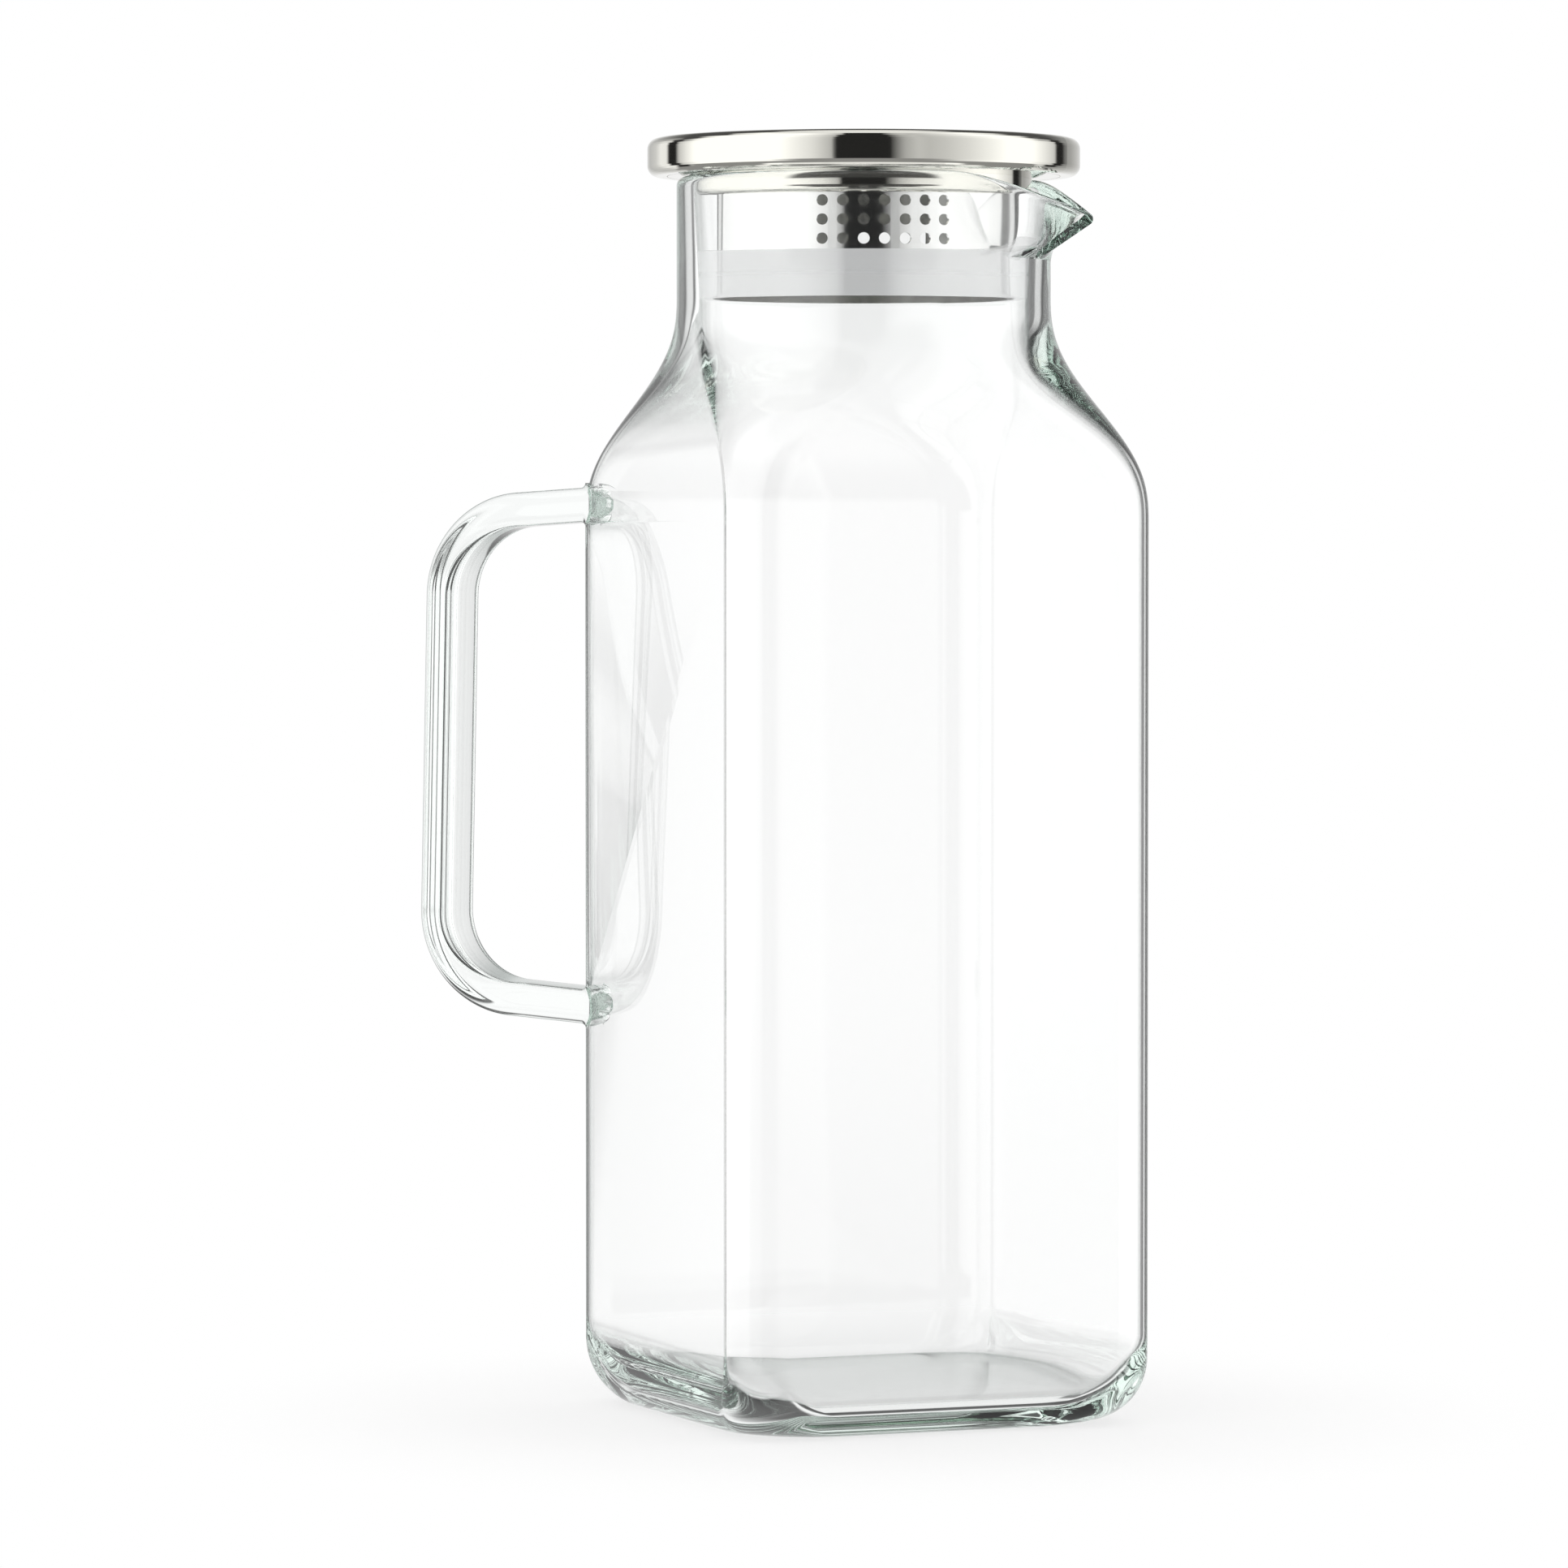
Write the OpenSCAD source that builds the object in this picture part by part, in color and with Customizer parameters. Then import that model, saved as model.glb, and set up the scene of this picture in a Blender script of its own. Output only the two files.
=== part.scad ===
// Square glass pitcher with a round neck, a spout, a strap handle and a strainer lid.
// The foot stands on Z = 0, the spout points along +X and the handle along -X.
// The body's upright corners lie on the X and Y axes.

/* [Body] */
// Width of the square body across its flats
body_w = 96.7; // [88:0.1:110]
// Radius of the body's upright corners
body_corner_r = 10.5; // [9:0.5:18]
// Thickness of the body's wall
body_wall = 1.5; // [1.2:0.1:3]
// Height at which the shoulder starts
body_h = 190.5; // [150:0.5:220]
// Thickness of the glass under the floor
base_t = 5; // [3:0.5:8]
// How far the rounded heel draws the foot in on each side
heel_w = 7.7; // [5:0.1:11]
// Height of the rounded heel
heel_h = 14; // [9:0.5:22]
// Corner radius of the foot's outline
foot_corner_r = 20; // [14:0.5:26]

/* [Neck] */
// Height of the shoulder between body and neck
shoulder_h = 49; // [40:0.5:60]
// Height of the straight neck
neck_h = 25; // [22:0.5:34]
// Outer diameter of the neck
neck_d = 80; // [78:0.2:84]
// Bore of the neck at its rim
mouth_d = 73; // [72.8:0.1:74]
// Bore of the neck at its foot, where the seal sits
throat_d = 70.4; // [69.4:0.1:71.6]
// How far the neck's thick glass runs on below the neck
bore_drop = 4; // [0:0.5:10]
// Height over which it then gets as thin as the body's wall
thinning_h = 34; // [16:0.5:39]

/* [Spout] */
// How far the spout reaches out beyond the neck
spout_reach = 12.6; // [8:0.2:16]
// How far the spout's tip dips below the rim
spout_dip = 10; // [6:0.1:11]
// Height of the spout on the neck, from the rim to its keel
spout_h = 17.9; // [14:0.1:19]
// Thickness of the spout's lip
spout_lip_t = 2.6; // [2.2:0.1:3.4]

/* [Handle] */
// Width of the handle's strap
handle_w = 15.2; // [12:0.2:18]
// Thickness of the handle's strap
handle_t = 7.4; // [6:0.2:9]
// Radius of the strap's long edges
handle_edge_r = 2.7; // [1:0.1:2.9]
// Height of the upper arm's root above the start of the shoulder
handle_rise = 4.1; // [-10:0.1:5]
// Distance between the roots of the two arms
handle_span = 108.7; // [95:0.5:120]
// Distance of the grip's middle from the pitcher's axis
handle_reach = 97.4; // [92:0.2:104]
// Radius of the two bends, on the strap's middle
handle_bend_r = 19; // [14:0.5:22]
// Radius of the spread where an arm is melted to the body
weld_r = 1; // [0.6:0.1:2]
// Height of the low button that each arm's end makes inside the body
button_h = 1.6; // [1.2:0.1:2.4]
// Width of that button
button_w = 12; // [7:0.5:14]
// Slope of the upper arm, down and away from the body
upper_slope = 3.7; // [0:0.1:8]
// Slope of the lower arm, up and away from the body
lower_slope = 4.3; // [0:0.1:8]
// Lean of the grip, outward at the bottom
grip_lean = 1.2; // [0:0.1:3]

/* [Lid] */
// Diameter of the lid
lid_d = 92.5; // [90:0.5:98]
// Height of the lid above the rim
lid_h = 8; // [7.5:0.1:12]
// Radius of the cap's rounded edges
lid_edge_r = 2.2; // [1.6:0.1:3.4]
// Width of the flat lip turned in under the cap
lid_lip_w = 2; // [1.5:0.1:2.5]
// Thickness of the steel sheet
sheet_t = 0.8; // [0.6:0.1:1]
// Gap between the glass and the collar that hangs into the mouth
collar_gap = 0.3; // [0.2:0.1:1.5]
// Depth of the collar below the cap
collar_h = 4.7; // [3.6:0.1:6]
// Radius of the collar's rounded lower edge
collar_edge_r = 1.5; // [1:0.1:2.2]

/* [Strainer] */
// Thickness of the sleeve's wall
sleeve_t = 0.6; // [0.5:0.1:0.8]
// Height of the sleeve below the collar
sleeve_h = 21.6; // [20:0.2:26]
// Width of the lip around the sleeve's foot, which keeps the seal on
sleeve_lip_w = 0.9; // [0.6:0.1:1.2]
// Diameter of each strainer hole
hole_d = 2.4; // [1.6:0.1:3]
// Distance between the rows of holes
hole_pitch = 4; // [3.6:0.1:4.4]
// Distance between the columns of holes, around the sleeve
hole_col_pitch = 4.3; // [3.6:0.1:4.8]
// Number of rows of holes
hole_rows = 3; // [1:1:3]
// Number of holes in a row
hole_cols = 7; // [3:1:11]
// Height of the lowest row of holes above the sleeve's foot
hole_rise = 11.9; // [11.5:0.1:13]
// Width of the pouring slot
slot_w = 17; // [10:0.5:24]
// Height of the pouring slot
slot_h = 5.2; // [4:0.1:5.6]
// Height of the slot's middle above the sleeve's foot
slot_rise = 12.7; // [12.6:0.1:16]
// Turn from the strainer holes to the slot
slot_turn = 160; // [90:1:270]
// Direction that the strainer holes face, from the spout
strainer_dir = -60.6; // [-180:0.1:180]

/* [Seal] */
// Width of the gap between the sleeve and the throat, which the seal fills
seal_w = 3.9; // [3.4:0.1:6]
// Height of the silicone seal
seal_h = 9.7; // [7:0.1:10]
// Depth of the groove round the middle of the seal
seal_groove = 0.5; // [0.2:0.1:1]

/* [Hidden] */
$fn = 96;

// Clearances: lid over the rim, seal to the glass, seal to the sleeve, and plate to the cap's lip
seat_gap = 0.2;
seal_gap = 0.2;
seal_fit = 0.05;
crimp_gap = 0.1;
// One overrun serves every cut
cut = 1;
// The roots of the handle's arms lie at this share of the wall's depth
weld_share = 0.75;

// Steps of the glass mesh: round each corner, up the heel, up the shoulder, up the spout and over the lip
corner_steps = 15;
heel_steps = 8;
shoulder_steps = 14;
spout_steps = 5;
lip_steps = 6;
// Steps of the handle's mesh: over each long edge, along a spread root, round a bend and over a button
edge_steps = 4;
spread_steps = 4;
bend_steps = 12;
button_steps = 4;
ring_size = 4 * corner_steps;

half_w = body_w / 2;
neck_r = neck_d / 2;
mouth_r = mouth_d / 2;
throat_r = throat_d / 2;
neck_z = body_h + shoulder_h;
rim_z = neck_z + neck_h;
keel_z = rim_z - spout_h;
// Where the glass starts to get thinner, as a share of the shoulder's height
thick_share = 1 - bore_drop / shoulder_h;
spout_tip_r = neck_r + spout_reach;
spout_half_angle = acos(neck_r / spout_tip_r);
// The lip dips by this power of its reach
dip_power = 0.85;
rim_t = neck_r - mouth_r;
corner_x = (half_w - body_corner_r) * sqrt(2);
root_x = -(corner_x + body_corner_r);
upper_z = body_h + handle_rise;
lower_z = upper_z - handle_span;

lid_r = lid_d / 2;
lid_z = rim_z + seat_gap;
lip_r = lid_r - lid_edge_r - lid_lip_w;
collar_z = lid_z - collar_h;
collar_r = bore_r(collar_z) - collar_gap;
sleeve_r = throat_r - seal_w;
sleeve_z = collar_z - sleeve_h;
lip_foot_r = sleeve_r + sleeve_lip_w;
hole_turn = 180 * hole_col_pitch / (PI * sleeve_r);

function mix(a, b, s) = a + (b - a) * s;

// A curve from 0 to 1 that starts and ends level in slope and curvature
function ease(s) = s * s * s * (10 - 15 * s + 6 * s * s);

// Bore radius at height z of the straight neck
function bore_r(z) = mix(throat_r, mouth_r, (z - neck_z) / neck_h);

// Directions, seen from above, in which the glass mesh has its points
function turn(i) = 90 * (i + 0.5) / corner_steps - 45;

// A level ring: a square of half side a with corners of radius c that lie on the axes
function ring(a, c, z) = [
    for (i = [0 : ring_size - 1])
        let (corner = 90 * floor(i / corner_steps), out = (a - c) * sqrt(2))
        [out * cos(corner) + c * cos(turn(i)), out * sin(corner) + c * sin(turn(i)), z]
];

// How far the spout reaches in a direction: 1 at its tip, and 0 where its straight sides meet the neck
function spout_part(angle) =
    let (
        off = angle > 180 ? 360 - angle : abs(angle),
        side_r = neck_r / cos(max(0, spout_half_angle - off))
    )
    (side_r - neck_r) / spout_reach;

// Where the top of the lip is, as a radius and a height
function lip_top(w) = [neck_r + spout_reach * w, rim_z - spout_dip * pow(w, dip_power)];

// Direction of the glass from the keel to the rim, as outward and upward shares of 1
function flare(w) =
    let (way = lip_top(w) - [neck_r, keel_z])
    way / norm(way);

// Wall of the neck at the rim, thinner along the spout
function lip_t(w) = mix(rim_t, spout_lip_t, w);

// A point of the lip's round edge: 0 on the outside, 90 on top and 180 on the inside
function lip_point(w, angle) =
    let (
        d = flare(w),
        half_t = lip_t(w) / 2,
        middle = lip_top(w) - half_t * d - half_t * [d[1], -d[0]]
    )
    middle + half_t * (cos(angle) * [d[1], -d[0]] + sin(angle) * d);

// A ring round the neck whose points are given by a function of the direction
function around(points) = [
    for (i = [0 : ring_size - 1])
        [points[i][0] * cos(turn(i)), points[i][0] * sin(turn(i)), points[i][1]]
];

function lip_ring(angle) = around([
    for (i = [0 : ring_size - 1]) lip_point(spout_part(turn(i)), angle)
]);

function outer_spout(s) = around([
    for (i = [0 : ring_size - 1])
        mix([neck_r, keel_z], lip_point(spout_part(turn(i)), 0), s)
]);

function inner_spout(s) = around([
    for (i = [0 : ring_size - 1])
        let (w = spout_part(turn(i)), z = keel_z + w * spout_lip_t / 2)
        mix([bore_r(z), z], lip_point(w, 180), s)
]);

// The heel's rings, from the foot up: u is 0 at the foot and 90 where the body stands straight
function heel(u, inset, low, high, wall) =
    let (s = 1 - sin(u))
    ring(
        half_w - wall - inset * s,
        mix(body_corner_r - wall, foot_corner_r - wall, s),
        mix(low, high, 1 - cos(u))
    );

// The shoulder's rings: s is 0 where it starts and 1 where it is round
function shoulder(s, wall) =
    let (e = ease(s))
    ring(mix(half_w, neck_r, e) - wall, mix(body_corner_r, neck_r, e) - wall, body_h + shoulder_h * s);

// Thickness of the shoulder's glass, from the body's wall to the neck's
function shoulder_wall(s) =
    let (thin = (thick_share - s) * shoulder_h / thinning_h)
    mix(neck_r - throat_r, body_wall, ease(max(0, min(1, thin))));

glass_rings = [
    for (i = [0 : heel_steps]) heel(90 * i / heel_steps, heel_w, 0, heel_h, 0),
    for (i = [0 : shoulder_steps]) shoulder(i / shoulder_steps, 0),
    for (i = [0 : spout_steps - 1]) outer_spout(i / spout_steps),
    for (i = [0 : lip_steps]) lip_ring(180 * i / lip_steps),
    for (i = [1 : spout_steps]) inner_spout(1 - i / spout_steps),
    for (i = [0 : shoulder_steps])
        let (s = 1 - i / shoulder_steps)
        shoulder(s, shoulder_wall(s)),
    for (i = [0 : heel_steps]) heel(90 - 90 * i / heel_steps, heel_w, base_t, base_t + heel_h, body_wall)
];

// Skin between a stack of rings, closed by a flat face at each end
function skin(rings) = [
    for (j = [0 : len(rings) - 2], i = [0 : ring_size - 1])
        let (a = j * ring_size, n = (i + 1) % ring_size)
        each [[a + i, a + ring_size + i, a + ring_size + n], [a + i, a + ring_size + n, a + n]],
    [for (i = [0 : ring_size - 1]) i],
    [for (i = [0 : ring_size - 1]) len(rings) * ring_size - 1 - i]
];

module glass_body() {
    color([0.86, 0.93, 0.9, 0.35])
        polyhedron([for (r = glass_rings) each r], skin(glass_rings), convexity = 6);
}

function along(heading) = [cos(heading), sin(heading)];

// Where two lines cross, each given by a point and a heading
function crossing(p, heading_p, q, heading_q) =
    let (d = along(heading_p), e = along(heading_q), s = cross(q - p, e) / cross(d, e))
    p + s * d;

// How far the strap spreads at a distance from the glass it is melted to
function spread(d) =
    d >= weld_r ? 0 : weld_r - sqrt(weld_r * weld_r - (weld_r - d) * (weld_r - d));

// Half of the strap's outline, with two of its rounded edges: across the strap, and up its width
function strap_half(grow) =
    let (r = handle_edge_r + grow, x = handle_t / 2 - handle_edge_r, y = handle_w / 2 - handle_edge_r)
    [
        for (i = [0 : edge_steps]) [x + r * sin(90 * i / edge_steps), -y - r * cos(90 * i / edge_steps)],
        for (i = [0 : edge_steps]) [x + r * cos(90 * i / edge_steps), y + r * sin(90 * i / edge_steps)]
    ];

// The whole outline: the far half runs back from the last edge to the first
function strap_outline(grow) =
    let (half = strap_half(grow), last = len(half) - 1)
    concat(half, [for (i = [0 : last]) [-half[last - i][0], half[last - i][1]]]);

// A ring of strap at a point of the handle's plane, square to a heading
function strap_ring(at, heading, grow) = [
    for (p = strap_outline(grow))
        [at[0] + p[0] * sin(heading), p[1], at[1] - p[0] * cos(heading)]
];

// The body's side at a distance y from the handle's plane, moved in by a depth
function side_x(y, depth) =
    let (r = body_corner_r - depth)
    y < r / sqrt(2) ? -corner_x - sqrt(r * r - y * y) : -corner_x - r * sqrt(2) + y;

// A ring of an arm, laid along the body's side at a depth
function side_ring(at, heading, depth, grow) = [
    for (p = strap_ring(at, heading, grow))
        let (x = side_x(abs(p[1]), depth))
        [x, p[1], p[2] + (x - p[0]) * tan(heading)]
];

// The oval button's rings: u is 0 at its foot, in the wall, and 90 at its top, inside the body
function button_ring(at, heading, u) =
    let (depth = weld_share * body_wall + button_h * sin(u))
    [
        for (p = strap_outline(0))
            let (
                size = cos(u) / norm([2 * p[0] / handle_t, 2 * p[1] / handle_w]),
                y = p[1] * size * button_w / handle_w,
                x = side_x(abs(y), depth)
            )
            [x, y, at[1] - p[0] * size / cos(heading) + (x - at[0]) * tan(heading)]
    ];

// An arm's end from the button's top to the end of the spread, where it leaves the glass
function arm_end(at, heading) = [
    for (i = [button_steps - 1 : -1 : 0]) button_ring(at, heading, 90 * i / button_steps),
    side_ring(at, heading, weld_share * body_wall, 0),
    for (i = [0 : spread_steps])
        let (d = weld_r * i / spread_steps)
        side_ring(at, heading, -d, spread(d))
];

function bend_rings(start, heading, angle) = [
    for (i = [0 : bend_steps])
        let (
            now = heading + angle * i / bend_steps,
            centre = start + handle_bend_r * along(heading + 90)
        )
        strap_ring(centre - handle_bend_r * along(now + 90), now, 0)
];

// The same rings from the last to the first
function reversed(rings) = [for (i = [len(rings) - 1 : -1 : 0]) rings[i]];

handle_rings = let (
    grip = [-handle_reach, (upper_z + lower_z) / 2],
    upper_root = [root_x, upper_z],
    lower_root = [root_x, lower_z],
    out_heading = 180 + upper_slope,
    down_heading = 270 - grip_lean,
    in_heading = 360 - lower_slope,
    upper_knee = crossing(upper_root, out_heading, grip, down_heading),
    lower_knee = crossing(lower_root, in_heading, grip, down_heading),
    upper_turn = down_heading - out_heading,
    lower_turn = in_heading - down_heading,
    upper_start = upper_knee - handle_bend_r * tan(upper_turn / 2) * along(out_heading),
    lower_start = lower_knee - handle_bend_r * tan(lower_turn / 2) * along(down_heading)
) concat(
    arm_end(upper_root, out_heading),
    bend_rings(upper_start, out_heading, upper_turn),
    bend_rings(lower_start, down_heading, lower_turn),
    reversed(arm_end(lower_root, in_heading))
);

// A root's end is a strip of flat faces between points at the same place in the strap's width
function strip(first, turned) = let (last = 2 * edge_steps + 1, size = 2 * last + 2) [
    for (i = [0 : last - 1])
        let (
            a = first + i,
            b = first + i + 1,
            c = first + size - i - 2,
            d = first + size - i - 1
        )
        each turned ? [[a, b, c], [a, c, d]] : [[c, b, a], [d, c, a]]
];

module glass_handle() {
    size = len(handle_rings[0]);
    faces = [
        for (j = [0 : len(handle_rings) - 2], i = [0 : size - 1])
            let (a = j * size, n = (i + 1) % size)
            each [[a + i, a + size + n, a + size + i], [a + i, a + n, a + size + n]]
    ];
    ends = concat(strip(0, false), strip((len(handle_rings) - 1) * size, true));
    color([0.8, 0.89, 0.85, 0.45])
        polyhedron([for (r = handle_rings) each r], concat(faces, ends), convexity = 6);
}

// A stretch of circle as outline points, from one angle to another
function arc(centre, r, start, end, steps = 8) = [
    for (i = [0 : steps]) centre + r * along(mix(start, end, i / steps))
];

module lid_cap() {
    edge_x = lid_r - lid_edge_r;
    high = [edge_x, lid_z + lid_h - lid_edge_r];
    low = [edge_x, lid_z + lid_edge_r];
    inner_r = lid_edge_r - sheet_t;
    color("silver")
        rotate_extrude()
            polygon(concat(
                [[0, lid_z + lid_h]],
                arc(high, lid_edge_r, 90, 0),
                arc(low, lid_edge_r, 0, -90),
                [[lip_r, lid_z], [lip_r, lid_z + sheet_t]],
                arc(low, inner_r, -90, 0),
                arc(high, inner_r, 0, 90),
                [[0, lid_z + lid_h - sheet_t]]
            ));
}

module lid_base_plate() {
    step_r = lip_r - crimp_gap;
    flange_r = lid_r - lid_edge_r - crimp_gap;
    edge = [collar_r - collar_edge_r, collar_z + collar_edge_r];
    color("lightgray")
        rotate_extrude()
            polygon(concat(
                [[0, collar_z]],
                arc(edge, collar_edge_r, -90, 0),
                [
                    [collar_r, lid_z],
                    [step_r, lid_z],
                    [step_r, lid_z + sheet_t],
                    [flange_r, lid_z + sheet_t],
                    [flange_r, lid_z + 2 * sheet_t],
                    [step_r - sheet_t, lid_z + 2 * sheet_t],
                    [step_r - sheet_t, lid_z + sheet_t],
                    [collar_r - sheet_t, lid_z + sheet_t]
                ],
                arc(edge, collar_edge_r - sheet_t, 0, -90),
                [[0, collar_z + sheet_t]]
            ));
}

// Places a cutter that points along Z so that it goes out through the sleeve's wall
module through_sleeve(angle, z) {
    rotate([0, 0, angle])
        translate([sleeve_r - sleeve_t - cut, 0, z])
            rotate([0, 90, 0])
                children();
}

module pouring_slot(depth) {
    flat = slot_w - slot_h;
    linear_extrude(height = depth)
        polygon(concat(
            arc([0, flat / 2], slot_h / 2, 0, 180),
            arc([0, -flat / 2], slot_h / 2, 180, 360)
        ));
}

module strainer_sleeve() {
    through = sleeve_t + 2 * cut;
    color("gainsboro")
        difference() {
            rotate_extrude()
                polygon([
                    [sleeve_r - sleeve_t, sleeve_z],
                    [lip_foot_r, sleeve_z],
                    [lip_foot_r, sleeve_z + sleeve_t],
                    [sleeve_r, sleeve_z + sleeve_t],
                    [sleeve_r, collar_z],
                    [sleeve_r - sleeve_t, collar_z]
                ]);
            for (row = [0 : hole_rows - 1], col = [0 : hole_cols - 1])
                through_sleeve(
                    strainer_dir + (col - (hole_cols - 1) / 2) * hole_turn,
                    sleeve_z + hole_rise + row * hole_pitch
                )
                    cylinder(d = hole_d, h = through, $fn = 24);
            through_sleeve(strainer_dir + slot_turn, sleeve_z + slot_rise)
                pouring_slot(through);
        }
}

module seal_ring() {
    low_z = sleeve_z;
    high_z = sleeve_z + seal_h;
    mid_z = (low_z + high_z) / 2;
    pocket_z = sleeve_z + sleeve_t + seal_fit;
    color("whitesmoke")
        rotate_extrude()
            polygon([
                [lip_foot_r + seal_fit, low_z],
                [bore_r(low_z) - seal_gap, low_z],
                [bore_r(mid_z) - seal_gap, mid_z - seal_groove],
                [bore_r(mid_z) - seal_gap - seal_groove, mid_z],
                [bore_r(mid_z) - seal_gap, mid_z + seal_groove],
                [bore_r(high_z) - seal_gap, high_z],
                [sleeve_r + seal_fit, high_z],
                [sleeve_r + seal_fit, pocket_z],
                [lip_foot_r + seal_fit, pocket_z]
            ]);
}

glass_body();
glass_handle();
lid_cap();
lid_base_plate();
strainer_sleeve();
seal_ring();
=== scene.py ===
# A square glass pitcher with a steel strainer lid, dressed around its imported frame.
# Sizes of the pitcher are in millimetres. Meshes, materials, floor and camera are in metres.
import math

import bmesh
import bpy
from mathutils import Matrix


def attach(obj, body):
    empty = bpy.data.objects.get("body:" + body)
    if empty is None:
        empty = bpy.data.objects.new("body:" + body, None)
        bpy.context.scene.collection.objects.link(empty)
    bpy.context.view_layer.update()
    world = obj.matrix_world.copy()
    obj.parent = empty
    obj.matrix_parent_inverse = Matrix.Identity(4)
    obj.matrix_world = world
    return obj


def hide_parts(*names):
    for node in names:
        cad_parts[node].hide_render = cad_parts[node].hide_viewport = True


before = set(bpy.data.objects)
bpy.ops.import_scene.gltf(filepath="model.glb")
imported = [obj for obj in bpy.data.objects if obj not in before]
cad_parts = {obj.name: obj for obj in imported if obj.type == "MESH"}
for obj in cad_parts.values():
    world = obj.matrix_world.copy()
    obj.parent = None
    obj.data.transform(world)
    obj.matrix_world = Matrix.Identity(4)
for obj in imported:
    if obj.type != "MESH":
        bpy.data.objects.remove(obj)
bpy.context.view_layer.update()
MM = 0.001


# Sizes of the glass, as on the real pitcher
HALF_W = 48.35
CORNER_R = 10.5
WALL = 1.5
BODY_H = 190.5
BASE_T = 5.0
HEEL_W = 7.7
HEEL_H = 14.0
FOOT_CORNER_R = 20.0
SHOULDER_H = 49.0
NECK_H = 25.0
NECK_R = 40.0
MOUTH_R = 36.5
THROAT_R = 35.2
BORE_DROP = 4.0
THINNING_H = 34.0
SPOUT_REACH = 12.6
SPOUT_DIP = 10.0
SPOUT_H = 17.9
SPOUT_LIP_T = 2.6
DIP_POWER = 0.85
NECK_Z = BODY_H + SHOULDER_H
RIM_Z = NECK_Z + NECK_H
KEEL_Z = RIM_Z - SPOUT_H
SPOUT_HALF_ANGLE = math.degrees(math.acos(NECK_R / (NECK_R + SPOUT_REACH)))

# Steps of the glass mesh
CORNER_STEPS = 45
HEEL_STEPS = 20
SHOULDER_STEPS = 72
SPOUT_STEPS = 24
LIP_STEPS = 14
RING = 4 * CORNER_STEPS


def mix(a, b, s):
    """From a to b as s goes from 0 to 1."""
    return a + (b - a) * s


def ease(s):
    """From 0 to 1 with a level, uncurved start and end."""
    return s * s * s * (10 - 15 * s + 6 * s * s)


def along(degrees):
    """A step of length 1 in a direction."""
    return math.cos(math.radians(degrees)), math.sin(math.radians(degrees))


def bore_r(z):
    """Radius of the neck's inside, which widens towards the rim."""
    return mix(THROAT_R, MOUTH_R, (z - NECK_Z) / NECK_H)


def turn(i):
    """Direction, seen from above, of point i of a ring."""
    return 90 * (i + 0.5) / CORNER_STEPS - 45


def ring(a, c, z):
    """A level ring: a square of half side a with corners of radius c on the axes."""
    points = []
    for i in range(RING):
        corner = along(90 * (i // CORNER_STEPS))
        out = (a - c) * math.sqrt(2)
        way = along(turn(i))
        points.append((out * corner[0] + c * way[0], out * corner[1] + c * way[1], z))
    return points


def spout_part(angle):
    """The spout's share in a direction: 1 at its tip, 0 where its straight sides meet the neck."""
    off = 360 - angle if angle > 180 else abs(angle)
    side_r = NECK_R / math.cos(math.radians(max(0.0, SPOUT_HALF_ANGLE - off)))
    return max(0.0, (side_r - NECK_R) / SPOUT_REACH)


def lip_top(w):
    """The lip's top edge as (radius, z), for a spout share w."""
    return NECK_R + SPOUT_REACH * w, RIM_Z - SPOUT_DIP * w**DIP_POWER


def lip_point(w, angle):
    """A point of the lip's round edge: 0 outside, 90 on top, 180 inside, as (radius, z)."""
    top_r, top_z = lip_top(w)
    length = math.hypot(top_r - NECK_R, top_z - KEEL_Z)
    dr, dz = (top_r - NECK_R) / length, (top_z - KEEL_Z) / length
    half_t = mix(NECK_R - MOUTH_R, SPOUT_LIP_T, w) / 2
    mid_r = top_r - half_t * dr - half_t * dz
    mid_z = top_z - half_t * dz + half_t * dr
    c, s = along(angle)
    return mid_r + half_t * (c * dz + s * dr), mid_z + half_t * (s * dz - c * dr)


def around(point_of):
    """A ring round the neck from a function that gives (radius, z) for a spout share."""
    points = []
    for i in range(RING):
        r, z = point_of(spout_part(turn(i)))
        c, s = along(turn(i))
        points.append((r * c, r * s, z))
    return points


def between(low, high, s):
    """A point on the line from low to high."""
    return mix(low[0], high[0], s), mix(low[1], high[1], s)


def heel(u, inset, low, high, wall):
    """A ring of the rounded heel: u is 0 at the foot and 90 at the wall."""
    c, s = along(u)
    a = HALF_W - wall - inset * (1 - s)
    return ring(a, mix(CORNER_R - wall, FOOT_CORNER_R - wall, 1 - s), mix(low, high, 1 - c))


def shoulder(s, wall):
    """A ring of the shoulder, which turns from the body's square into the neck's circle."""
    e = ease(s)
    half_w, corner_r = mix(HALF_W, NECK_R, e), mix(CORNER_R, NECK_R, e)
    return ring(half_w - wall, corner_r - wall, BODY_H + SHOULDER_H * s)


def shoulder_wall(s):
    """Thickness of the shoulder's glass, from the body's wall to the neck's."""
    thin = (1 - BORE_DROP / SHOULDER_H - s) * SHOULDER_H / THINNING_H
    return mix(NECK_R - THROAT_R, WALL, ease(max(0, min(1, thin))))


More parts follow.
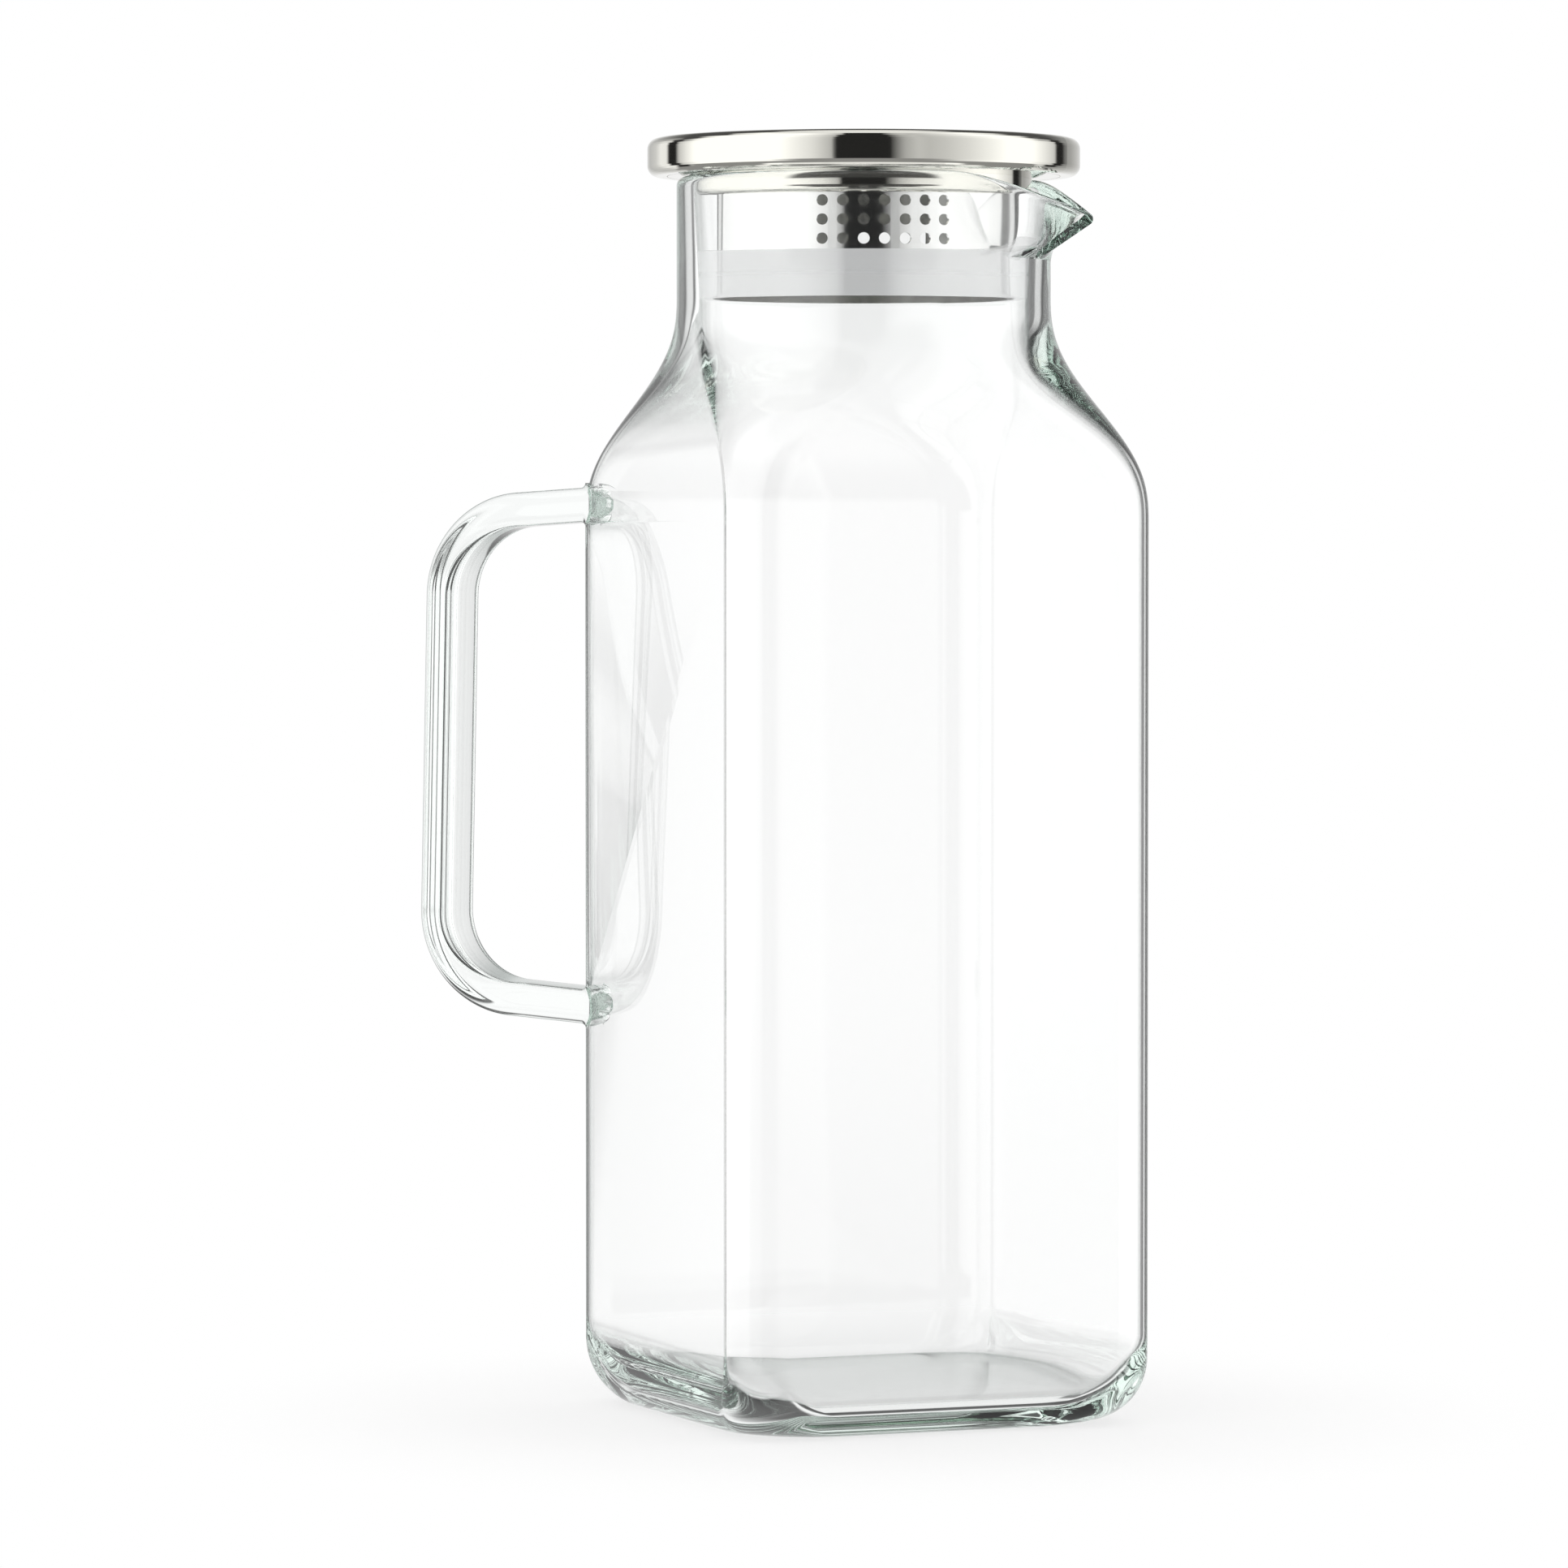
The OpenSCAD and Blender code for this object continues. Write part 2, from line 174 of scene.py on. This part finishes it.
def glass_rings():
    """Up the outside, over the lip, and down the inside to the floor."""
    rings = [heel(90 * i / HEEL_STEPS, HEEL_W, 0, HEEL_H, 0) for i in range(HEEL_STEPS + 1)]
    rings += [shoulder(i / SHOULDER_STEPS, 0) for i in range(SHOULDER_STEPS + 1)]
    for i in range(SPOUT_STEPS):
        rings.append(around(lambda w: between((NECK_R, KEEL_Z), lip_point(w, 0), i / SPOUT_STEPS)))
    for i in range(LIP_STEPS + 1):
        rings.append(around(lambda w: lip_point(w, 180 * i / LIP_STEPS)))
    for i in range(1, SPOUT_STEPS + 1):
        s = 1 - i / SPOUT_STEPS

        def inside(w):
            z = KEEL_Z + w * SPOUT_LIP_T / 2
            return between((bore_r(z), z), lip_point(w, 180), s)

        rings.append(around(inside))
    rings.append(ring(THROAT_R, THROAT_R, NECK_Z))
    for i in range(SHOULDER_STEPS + 1):
        s = 1 - i / SHOULDER_STEPS
        rings.append(shoulder(s, shoulder_wall(s)))
    for i in range(HEEL_STEPS + 1):
        rings.append(heel(90 - 90 * i / HEEL_STEPS, HEEL_W, BASE_T, BASE_T + HEEL_H, WALL))
    return rings


def mesh_object(name, points, faces):
    mesh = bpy.data.meshes.new(name)
    mesh.from_pydata([tuple(v * MM for v in p) for p in points], [], faces)
    mesh.validate()
    mesh.shade_smooth()
    piece = bpy.data.objects.new(name, mesh)
    bpy.context.scene.collection.objects.link(piece)
    return piece


def skin(name, rings):
    """A closed skin between a stack of rings, with a fan at each end."""
    count = len(rings[0])
    points = [p for r in rings for p in r]
    faces = []
    for j in range(len(rings) - 1):
        for i in range(count):
            a, n = j * count, (i + 1) % count
            faces.append((a + i, a + n, a + count + n, a + count + i))
    faces.append(tuple(reversed(range(count))))
    last = (len(rings) - 1) * count
    faces.append(tuple(last + i for i in range(count)))
    return mesh_object(name, points, faces)


# Sizes of the handle
STRAP_W = 15.2
STRAP_T = 7.4
STRAP_EDGE_R = 2.7
HANDLE_RISE = 4.1
HANDLE_SPAN = 108.7
HANDLE_REACH = 97.4
BEND_R = 19.0
WELD_R = 1.0
BUTTON_H = 1.6
BUTTON_W = 12.0
UPPER_SLOPE = 3.7
LOWER_SLOPE = 4.3
GRIP_LEAN = 1.2
# How deep in the body's wall an arm and its button meet, as a share of the wall
WELD_SHARE = 0.75

# Steps of the handle's mesh
EDGE_STEPS = 12
SPREAD_STEPS = 8
BEND_STEPS = 40
BUTTON_STEPS = 9

# Centre of the body's corner, from the axis
CORNER_X = (HALF_W - CORNER_R) * math.sqrt(2)


def spread(d):
    """How much an arm is wider at a distance d from the body."""
    return 0 if d >= WELD_R else WELD_R - math.sqrt(WELD_R**2 - (WELD_R - d) ** 2)


def strap_outline(grow):
    """The strap's rounded outline: across its thickness, and along its width."""
    r = STRAP_EDGE_R + grow
    x, y = STRAP_T / 2 - STRAP_EDGE_R, STRAP_W / 2 - STRAP_EDGE_R
    half = []
    for i in range(EDGE_STEPS + 1):
        c, s = along(90 * i / EDGE_STEPS)
        half.append((x + r * s, -y - r * c))
    for i in range(EDGE_STEPS + 1):
        c, s = along(90 * i / EDGE_STEPS)
        half.append((x + r * c, y + r * s))
    return half + [(-p[0], p[1]) for p in reversed(half)]


def strap_ring(at, heading, grow):
    """The strap's outline square to its heading, at a place in the handle's plane."""
    c, s = along(heading)
    return [(at[0] + p[0] * s, p[1], at[1] - p[0] * c) for p in strap_outline(grow)]


def side_x(y, depth):
    """The body's side at a distance y from the handle's plane, moved in by a depth."""
    r = CORNER_R - depth
    if y < r / math.sqrt(2):
        return -CORNER_X - math.sqrt(r * r - y * y)
    return -CORNER_X - r * math.sqrt(2) + y


def side_ring(at, heading, depth, grow):
    """A ring of an arm, laid along the body's side at a depth."""
    points = []
    for x0, y, z in strap_ring(at, heading, grow):
        x = side_x(abs(y), depth)
        points.append((x, y, z + (x - x0) * math.tan(math.radians(heading))))
    return points


def button_ring(at, heading, u):
    """The low oval button inside the body: u is 0 at its foot, in the wall, and 90 at its top."""
    narrowing, rise = along(u)
    depth = WELD_SHARE * WALL + BUTTON_H * rise
    slope = math.radians(heading)
    points = []
    for a, y in strap_outline(0):
        part = narrowing / math.hypot(2 * a / STRAP_T, 2 * y / STRAP_W)
        y *= part * BUTTON_W / STRAP_W
        x = side_x(abs(y), depth)
        points.append((x, y, at[1] - a * part / math.cos(slope) + (x - at[0]) * math.tan(slope)))
    return points


def arm_end(at, heading):
    """An arm's end from the button's top to the end of the spread, where it leaves the glass."""
    rings = [button_ring(at, heading, 90 * i / BUTTON_STEPS) for i in reversed(range(BUTTON_STEPS))]
    rings.append(side_ring(at, heading, WELD_SHARE * WALL, 0))
    for i in range(SPREAD_STEPS + 1):
        d = WELD_R * i / SPREAD_STEPS
        rings.append(side_ring(at, heading, -d, spread(d)))
    return rings


def moved(at, heading, distance):
    """A place some way on in a heading."""
    c, s = along(heading)
    return at[0] + distance * c, at[1] + distance * s


def crossing(p, heading_p, q, heading_q):
    """Where a line through p meets a line through q."""
    d, e = along(heading_p), along(heading_q)
    s = ((q[0] - p[0]) * e[1] - (q[1] - p[1]) * e[0]) / (d[0] * e[1] - d[1] * e[0])
    return moved(p, heading_p, s)


def bend_rings(start, heading, angle):
    """The strap's rings round a bend, from its start and the heading there."""
    centre = moved(start, heading + 90, BEND_R)
    rings = []
    for i in range(BEND_STEPS + 1):
        now = heading + angle * i / BEND_STEPS
        rings.append(strap_ring(moved(centre, now + 90, -BEND_R), now, 0))
    return rings


def handle_rings():
    """From the upper button out, down the grip, and back in to the lower button."""
    upper_z = BODY_H + HANDLE_RISE
    lower_z = upper_z - HANDLE_SPAN
    root_x = -(CORNER_X + CORNER_R)
    upper_root, lower_root = (root_x, upper_z), (root_x, lower_z)
    grip = (-HANDLE_REACH, (upper_z + lower_z) / 2)
    out_way, down_way, in_way = 180 + UPPER_SLOPE, 270 - GRIP_LEAN, 360 - LOWER_SLOPE
    upper_knee = crossing(upper_root, out_way, grip, down_way)
    lower_knee = crossing(lower_root, in_way, grip, down_way)
    upper_turn, lower_turn = down_way - out_way, in_way - down_way
    upper_start = moved(upper_knee, out_way, -BEND_R * math.tan(math.radians(upper_turn / 2)))
    lower_start = moved(lower_knee, down_way, -BEND_R * math.tan(math.radians(lower_turn / 2)))
    rings = arm_end(upper_root, out_way)
    rings += bend_rings(upper_start, out_way, upper_turn)
    rings += bend_rings(lower_start, down_way, lower_turn)
    rings += reversed(arm_end(lower_root, in_way))
    return [list(reversed(r)) for r in rings]


def joined(name, first, second):
    """Melts two closed pieces into one, and keeps neither."""
    cutter = first.modifiers.new("melt", "BOOLEAN")
    cutter.operation = "UNION"
    cutter.solver = "EXACT"
    cutter.object = second
    graph = bpy.context.evaluated_depsgraph_get()
    mesh = bpy.data.meshes.new_from_object(first.evaluated_get(graph))
    piece = bpy.data.objects.new(name, mesh)
    bpy.context.scene.collection.objects.link(piece)
    for old in (first, second):
        bpy.data.objects.remove(old)
    return piece


# Angle from which an edge between two faces of the glass is shaded as sharp
SHARP_ANGLE = 18


def make_glass():
    """Body and handle as one piece of glass."""
    body = skin("body_glass", glass_rings())
    handle = skin("handle_glass", handle_rings())
    piece = joined("pitcher_glass", body, handle)
    piece.data.set_sharp_from_angle(angle=math.radians(SHARP_ANGLE))
    return piece


# Shader nodes
def math_node(tree, operation, *values):
    node = tree.nodes.new("ShaderNodeMath")
    node.operation = operation
    for i, value in enumerate(values):
        if isinstance(value, (int, float)):
            node.inputs[i].default_value = value
        else:
            tree.links.new(value, node.inputs[i])
    return node.outputs[0]


def ramp(tree, value, stops, interpolation="LINEAR"):
    """Grey levels along a value: stops are pairs of place and brightness."""
    node = tree.nodes.new("ShaderNodeValToRGB")
    node.color_ramp.interpolation = interpolation
    marks = node.color_ramp.elements
    while len(marks) < len(stops):
        marks.new(0.5)
    for mark, (place, level) in zip(marks, stops):
        mark.position = place
        mark.color = (level, level, level, 1)
    tree.links.new(value, node.inputs["Fac"])
    return node.outputs["Color"]


def blended(tree, share, first, second):
    """One colour turns into another as the share goes from 0 to 1."""
    node = tree.nodes.new("ShaderNodeMix")
    node.data_type = "RGBA"
    tree.links.new(share, node.inputs["Factor"])
    for name, colour in (("A", first), ("B", second)):
        if isinstance(colour, tuple):
            node.inputs[name].default_value = (*colour, 1)
        elif isinstance(colour, (int, float)):
            node.inputs[name].default_value = (colour, colour, colour, 1)
        else:
            tree.links.new(colour, node.inputs[name])
    return node.outputs["Result"]


def smooth_step(tree, value, start, end):
    node = tree.nodes.new("ShaderNodeMapRange")
    node.interpolation_type = "SMOOTHSTEP"
    node.inputs["From Min"].default_value = start
    node.inputs["From Max"].default_value = end
    tree.links.new(value, node.inputs["Value"])
    return node.outputs["Result"]


def ray_has(tree, depth):
    """1 for a ray that has been reflected, bent or scattered at least once."""
    path = tree.nodes.new("ShaderNodeLightPath")
    return math_node(tree, "GREATER_THAN", path.outputs[depth], 0.5)


# Materials
GLASS_IOR = 1.473
GLASS_COLOUR = (0.63, 0.77, 0.70, 1)
GLASS_DENSITY = 8.0
# How far from face-on, as 1 less the cosine, painted shade darkens the glass towards its edges
BODY_EDGE = 0.54, 0.95
HANDLE_EDGE = 0.5, 0.85
# Painted shade: the dark colour that the outer faces of the glass take at their edges
PAINTED_EDGE_SHADE = (0.15, 0.19, 0.175)
# A Layer Weight with this blend gives 1 less the cosine
PLAIN_BLEND = 0.5
# How far towards the handle the body's glass ends and the handle's starts, for the painted edge shade
HANDLE_FROM, HANDLE_TO = 0.058, 0.061
# Colour, roughness and scale of the grain of the lid's steel, and of the strainer's
POLISHED = (0.80, 0.79, 0.73, 1), 0.05, 900
SATIN = (0.84, 0.84, 0.83, 1), 0.09, 1400
GRAIN_DETAIL = 6.0
# The least and the most that the grain makes of the roughness
GRAIN_LOW, GRAIN_HIGH = 0.75, 1.3
SILICONE_COLOUR = (0.93, 0.935, 0.95, 1)
SILICONE_ROUGHNESS = 0.3
SILICONE_IOR = 1.41
SILICONE_ALPHA = 0.32
# Painted light: a faint white glow that brightens the silicone, though it is no lamp
SILICONE_PAINTED_GLOW = 0.22


def new_material(name):
    material = bpy.data.materials.new(name)
    material.use_nodes = True
    tree = material.node_tree
    return material, tree, tree.nodes["Principled BSDF"]


def clear_glass():
    material, tree, shader = new_material("clear_glass")
    shader.inputs["Base Color"].default_value = (1, 1, 1, 1)
    shader.inputs["Roughness"].default_value = 0.0
    shader.inputs["IOR"].default_value = GLASS_IOR
    shader.inputs["Transmission Weight"].default_value = 1.0
    grazing = tree.nodes.new("ShaderNodeLayerWeight")
    grazing.inputs["Blend"].default_value = PLAIN_BLEND
    where = tree.nodes.new("ShaderNodeTexCoord")
    parts = tree.nodes.new("ShaderNodeSeparateXYZ")
    tree.links.new(where.outputs["Object"], parts.inputs["Vector"])
    handleward = math_node(tree, "MULTIPLY", parts.outputs["X"], -1)
    body_edge, handle_edge = (
        smooth_step(tree, grazing.outputs["Facing"], *reach) for reach in (BODY_EDGE, HANDLE_EDGE)
    )
    on_handle = smooth_step(tree, handleward, HANDLE_FROM, HANDLE_TO)
    edge = blended(tree, on_handle, body_edge, handle_edge)
    side = tree.nodes.new("ShaderNodeNewGeometry")
    outer = math_node(tree, "SUBTRACT", 1.0, side.outputs["Backfacing"])
    # Painted shade: the outer faces of the glass are coloured darker towards their edges
    painted_shade_colour = blended(tree, math_node(tree, "MULTIPLY", edge, outer), 1.0, PAINTED_EDGE_SHADE)
    tree.links.new(painted_shade_colour, shader.inputs["Base Color"])
    depth = tree.nodes.new("ShaderNodeVolumeAbsorption")
    depth.inputs["Color"].default_value = GLASS_COLOUR
    depth.inputs["Density"].default_value = GLASS_DENSITY
    tree.links.new(depth.outputs["Volume"], tree.nodes["Material Output"].inputs["Volume"])
    return material


def steel(name, colour, roughness, grain):
    material, tree, shader = new_material(name)
    shader.inputs["Base Color"].default_value = colour
    shader.inputs["Metallic"].default_value = 1.0
    where = tree.nodes.new("ShaderNodeTexCoord")
    noise = tree.nodes.new("ShaderNodeTexNoise")
    noise.inputs["Scale"].default_value = grain
    noise.inputs["Detail"].default_value = GRAIN_DETAIL
    tree.links.new(where.outputs["Object"], noise.inputs["Vector"])
    shade = tree.nodes.new("ShaderNodeMapRange")
    shade.inputs["To Min"].default_value = roughness * GRAIN_LOW
    shade.inputs["To Max"].default_value = roughness * GRAIN_HIGH
    tree.links.new(noise.outputs["Fac"], shade.inputs["Value"])
    tree.links.new(shade.outputs["Result"], shader.inputs["Roughness"])
    return material


def silicone():
    material, tree, shader = new_material("milky_silicone")
    shader.inputs["Base Color"].default_value = SILICONE_COLOUR
    shader.inputs["Roughness"].default_value = SILICONE_ROUGHNESS
    shader.inputs["IOR"].default_value = SILICONE_IOR
    shader.inputs["Alpha"].default_value = SILICONE_ALPHA
    # Painted light: the silicone glows faintly white
    shader.inputs["Emission Color"].default_value = (1, 1, 1, 1)
    shader.inputs["Emission Strength"].default_value = SILICONE_PAINTED_GLOW
    return material


def dress(node, material):
    """Gives a piece of the frame its material."""
    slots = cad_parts[node].data.materials
    for i in range(len(slots)):
        slots[i] = material
    if not len(slots):
        slots.append(material)


glass = make_glass()
glass.data.materials.clear()
glass.data.materials.append(clear_glass())
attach(glass, "pitcher")
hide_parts("glass_body", "glass_handle")

polished = steel("polished_steel", *POLISHED)
dress("lid_cap", polished)
dress("lid_base_plate", polished)
dress("strainer_sleeve", steel("strainer_steel", *SATIN))
dress("seal_ring", silicone())


# Floor
FLOOR_R = 0.16
FLOOR_Z = -0.0003
FLOOR_SIDES = 128
FLOOR_COLOUR = (0.97, 0.97, 0.97, 1)
FLOOR_ROUGHNESS = 0.7
# The floor's own white, as a share of what is seen under the object, so that its shadow stays faint
FLOOR_GLOW = 0.7
# Where on the floor's radius that starts to fade into the white all round
FADE_FROM = 0.45

# Camera: its turn from the front, distance and height, and how it is pitched and turned from the axis
CAMERA_TURN = 21.5
CAMERA_AWAY = 1.643
CAMERA_UP = 0.1908
CAMERA_PITCH = 1.952
CAMERA_YAW = 0.594
CAMERA_NEAR = 0.05
PHOTO_W = 1932
FOCAL_PX = 9450
SENSOR = 36.0

# Light. How often light may be reflected or bent on its way through the glass
BOUNCES = 48

# What polished steel sees all round, by the angle from the camera's side: degrees and brightness.
# Two wide soft panels leave a dark gap at the camera, and one more on each side of the white backdrop.
STEEL_STUDIO = (
    (-180, 0.95),
    (-160, 0.55),
    (-146, 0.70),
    (-138, 1.00),
    (-130, 1.00),
    (-127, 0.02),
    (-119, 0.02),
    (-116, 0.65),
    (-102, 1.32),
    (-45, 1.34),
    (-36, 1.10),
    (-27, 0.90),
    (-17, 0.56),
    (-15, 0.02),
    (14, 0.02),
    (22, 0.48),
    (29, 0.64),
    (35, 0.60),
    (44, 0.68),
    (58, 0.87),
    (72, 1.12),
    (82, 1.32),
    (102, 1.32),
    (122, 0.70),
    (125, 0.02),
    (132, 0.02),
    (136, 0.30),
    (150, 0.50),
    (166, 0.70),
    (180, 0.95),
)
# The same for a ray that was reflected inside the glass, where the studio's dark sides draw the edges
GLASS_STUDIO = (
    (-180, 1.0),
    (-176, 0.9),
    (-172, 0.12),
    (-157, 0.05),
    (-153, 0.85),
    (-144, 0.9),
    (-142, 0.15),
    (-140, 0.15),
    (-138, 1.2),
    (-102, 1.3),
    (-45, 1.35),
    (-27, 1.0),
    (-17, 0.6),
    (-14, 0.02),
    (14, 0.02),
    (24, 0.6),
    (36, 1.0),
    (60, 1.3),
    (105, 1.3),
    (128, 1.1),
    (131, 0.25),
    (140, 0.2),
    (143, 0.3),
    (145, 0.9),
    (153, 0.9),
    (157, 0.05),
    (172, 0.12),
    (176, 0.9),
    (180, 1.0),
)
# Below, places are parts of a ray's direction: how much of it goes up, to the front or to the back.
# The sky, which turns to one soft light
SKY_FROM, SKY_TO = 0.88, 0.95
SKY_LEVEL = 0.95
# The dark floor round the table, and how softly its two edges start
DARK_LOW, DARK_HIGH = -0.85, -0.46
DARK_LOW_SOFT, DARK_HIGH_SOFT = 0.02, 0.03
DARK_LEVEL = 0.3
# The dark wall above the white backdrop: its lower edge, and how far to the back it starts
WALL_FROM, WALL_TO = 0.15, 0.60
WALL_BACK_FROM, WALL_BACK_TO = 0.25, 0.40
WALL_LEVEL = 0.08
# The dark ceiling, for what is bent upward by the glass
CEILING_FROM, CEILING_TO = 0.32, 0.40
CEILING_LEVEL = 0.08
# The dark front below the camera, for a ray reflected inside the glass
FRONT_LOW_FROM, FRONT_LOW_TO = 0.06, 0.12
FRONT_FROM, FRONT_TO = 0.55, 0.70
FRONT_LEVEL = 0.06


def white_disc():
    mesh = bpy.data.meshes.new("floor")
    build = bmesh.new()
    bmesh.ops.create_circle(build, cap_ends=True, segments=FLOOR_SIDES, radius=FLOOR_R)
    build.to_mesh(mesh)
    build.free()
    piece = bpy.data.objects.new("floor", mesh)
    piece.location.z = FLOOR_Z
    bpy.context.scene.collection.objects.link(piece)
    return piece


def mixed_shader(tree, share, first, second):
    """One surface turns into another as the share goes from 0 to 1."""
    node = tree.nodes.new("ShaderNodeMixShader")
    tree.links.new(share, node.inputs["Fac"])
    tree.links.new(first, node.inputs[1])
    tree.links.new(second, node.inputs[2])
    return node.outputs["Shader"]


def make_floor():
    """A white disc with a faint shadow. A ray reflected inside the glass goes through it."""
    piece = white_disc()
    material, tree, shader = new_material("floor")
    shader.inputs["Base Color"].default_value = FLOOR_COLOUR
    shader.inputs["Roughness"].default_value = FLOOR_ROUGHNESS
    shader.inputs["Specular IOR Level"].default_value = 0.0
    where = tree.nodes.new("ShaderNodeTexCoord")
    far = tree.nodes.new("ShaderNodeVectorMath")
    far.operation = "LENGTH"
    tree.links.new(where.outputs["Object"], far.inputs[0])
    share = math_node(tree, "DIVIDE", far.outputs["Value"], FLOOR_R)
    fade = ramp(tree, share, [(FADE_FROM, FLOOR_GLOW), (1.0, 1.0)], "EASE")
    mirrored = ray_has(tree, "Glossy Depth")
    glow = tree.nodes.new("ShaderNodeEmission").outputs["Emission"]
    lit = mixed_shader(tree, math_node(tree, "MAXIMUM", fade, mirrored), shader.outputs["BSDF"], glow)
    in_glass = math_node(tree, "MULTIPLY", mirrored, ray_has(tree, "Transmission Depth"))
    clear = tree.nodes.new("ShaderNodeBsdfTransparent").outputs["BSDF"]
    surface = mixed_shader(tree, in_glass, lit, clear)
    tree.links.new(surface, tree.nodes["Material Output"].inputs["Surface"])
    piece.data.materials.append(material)


def view_from_camera_side(tree):
    """A ray's direction: x towards the camera's side, y to its right, z up."""
    where = tree.nodes.new("ShaderNodeTexCoord")
    turned = tree.nodes.new("ShaderNodeVectorRotate")
    turned.rotation_type = "Z_AXIS"
    turned.inputs["Angle"].default_value = math.radians(90 - CAMERA_TURN)
    tree.links.new(where.outputs["Generated"], turned.inputs["Vector"])
    parts = tree.nodes.new("ShaderNodeSeparateXYZ")
    tree.links.new(turned.outputs["Vector"], parts.inputs["Vector"])
    return (parts.outputs[axis] for axis in "XYZ")


def at_height(stops):
    """Stops by the sine of their elevation, for a ramp from straight down to straight up."""
    return [((1 + sine) / 2, level) for sine, level in stops]


def make_world():
    """White for what is seen straight, and a studio for what is reflected or bent."""
    world = bpy.data.worlds.new("studio")
    bpy.context.scene.world = world
    world.use_nodes = True
    tree = world.node_tree
    x, y, z = view_from_camera_side(tree)
    backward, downward = (math_node(tree, "MULTIPLY", way, -1) for way in (x, z))
    through, scattered = ray_has(tree, "Transmission Depth"), ray_has(tree, "Diffuse Depth")

    share = math_node(tree, "MULTIPLY_ADD", math_node(tree, "ARCTAN2", y, x), 0.5 / math.pi, 0.5)
    steel_sides, glass_sides = (
        ramp(tree, share, [(0.5 + degrees / 360, level) for degrees, level in studio])
        for studio in (STEEL_STUDIO, GLASS_STUDIO)
    )
    height = math_node(tree, "MULTIPLY_ADD", z, 0.5, 0.5)
    low_end = [(DARK_LOW - DARK_LOW_SOFT, 0), (DARK_LOW, 1)]
    high_end = [(DARK_HIGH - DARK_HIGH_SOFT, 1), (DARK_HIGH, 0)]
    dark_floor = ramp(tree, height, at_height(low_end + high_end))
    sky = ramp(tree, height, at_height([(SKY_FROM, 0.0), (SKY_TO, 1.0)]))

    steel_sees = blended(tree, dark_floor, steel_sides, DARK_LEVEL)
    low = smooth_step(tree, downward, FRONT_LOW_FROM, FRONT_LOW_TO)
    front = math_node(tree, "MULTIPLY", low, smooth_step(tree, x, FRONT_FROM, FRONT_TO))
    glass_sees = blended(tree, front, glass_sides, FRONT_LEVEL)
    high = smooth_step(tree, z, WALL_FROM, WALL_TO)
    behind = smooth_step(tree, backward, WALL_BACK_FROM, WALL_BACK_TO)
    wall = math_node(tree, "MULTIPLY", high, behind)
    sees = blended(tree, wall, blended(tree, through, steel_sees, glass_sees), WALL_LEVEL)
    sees = blended(tree, sky, sees, SKY_LEVEL)

    ceiling = math_node(tree, "SUBTRACT", smooth_step(tree, z, CEILING_FROM, CEILING_TO), sky)
    bent = math_node(tree, "SUBTRACT", math_node(tree, "MULTIPLY", ceiling, through), scattered)
    straight = blended(tree, bent, 1.0, CEILING_LEVEL)
    mirrored = math_node(tree, "SUBTRACT", ray_has(tree, "Glossy Depth"), scattered)
    back = tree.nodes["Background"]
    tree.links.new(blended(tree, mirrored, straight, sees), back.inputs["Color"])
    back.inputs["Strength"].default_value = 1.0


def make_camera():
    data = bpy.data.cameras.new("camera")
    data.sensor_width = SENSOR
    data.lens = SENSOR * FOCAL_PX / PHOTO_W
    data.clip_start = CAMERA_NEAR
    camera = bpy.data.objects.new("camera", data)
    c, s = along(CAMERA_TURN)
    camera.location = (CAMERA_AWAY * s, -CAMERA_AWAY * c, CAMERA_UP)
    tilt, turned = math.radians(90 - CAMERA_PITCH), math.radians(CAMERA_TURN + CAMERA_YAW)
    camera.rotation_euler = (tilt, 0, turned)
    bpy.context.scene.collection.objects.link(camera)
    bpy.context.scene.camera = camera


make_floor()
make_world()
make_camera()

scene = bpy.context.scene
scene.view_settings.view_transform = "Standard"
scene.cycles.max_bounces = BOUNCES
scene.cycles.transmission_bounces = BOUNCES
scene.cycles.glossy_bounces = BOUNCES
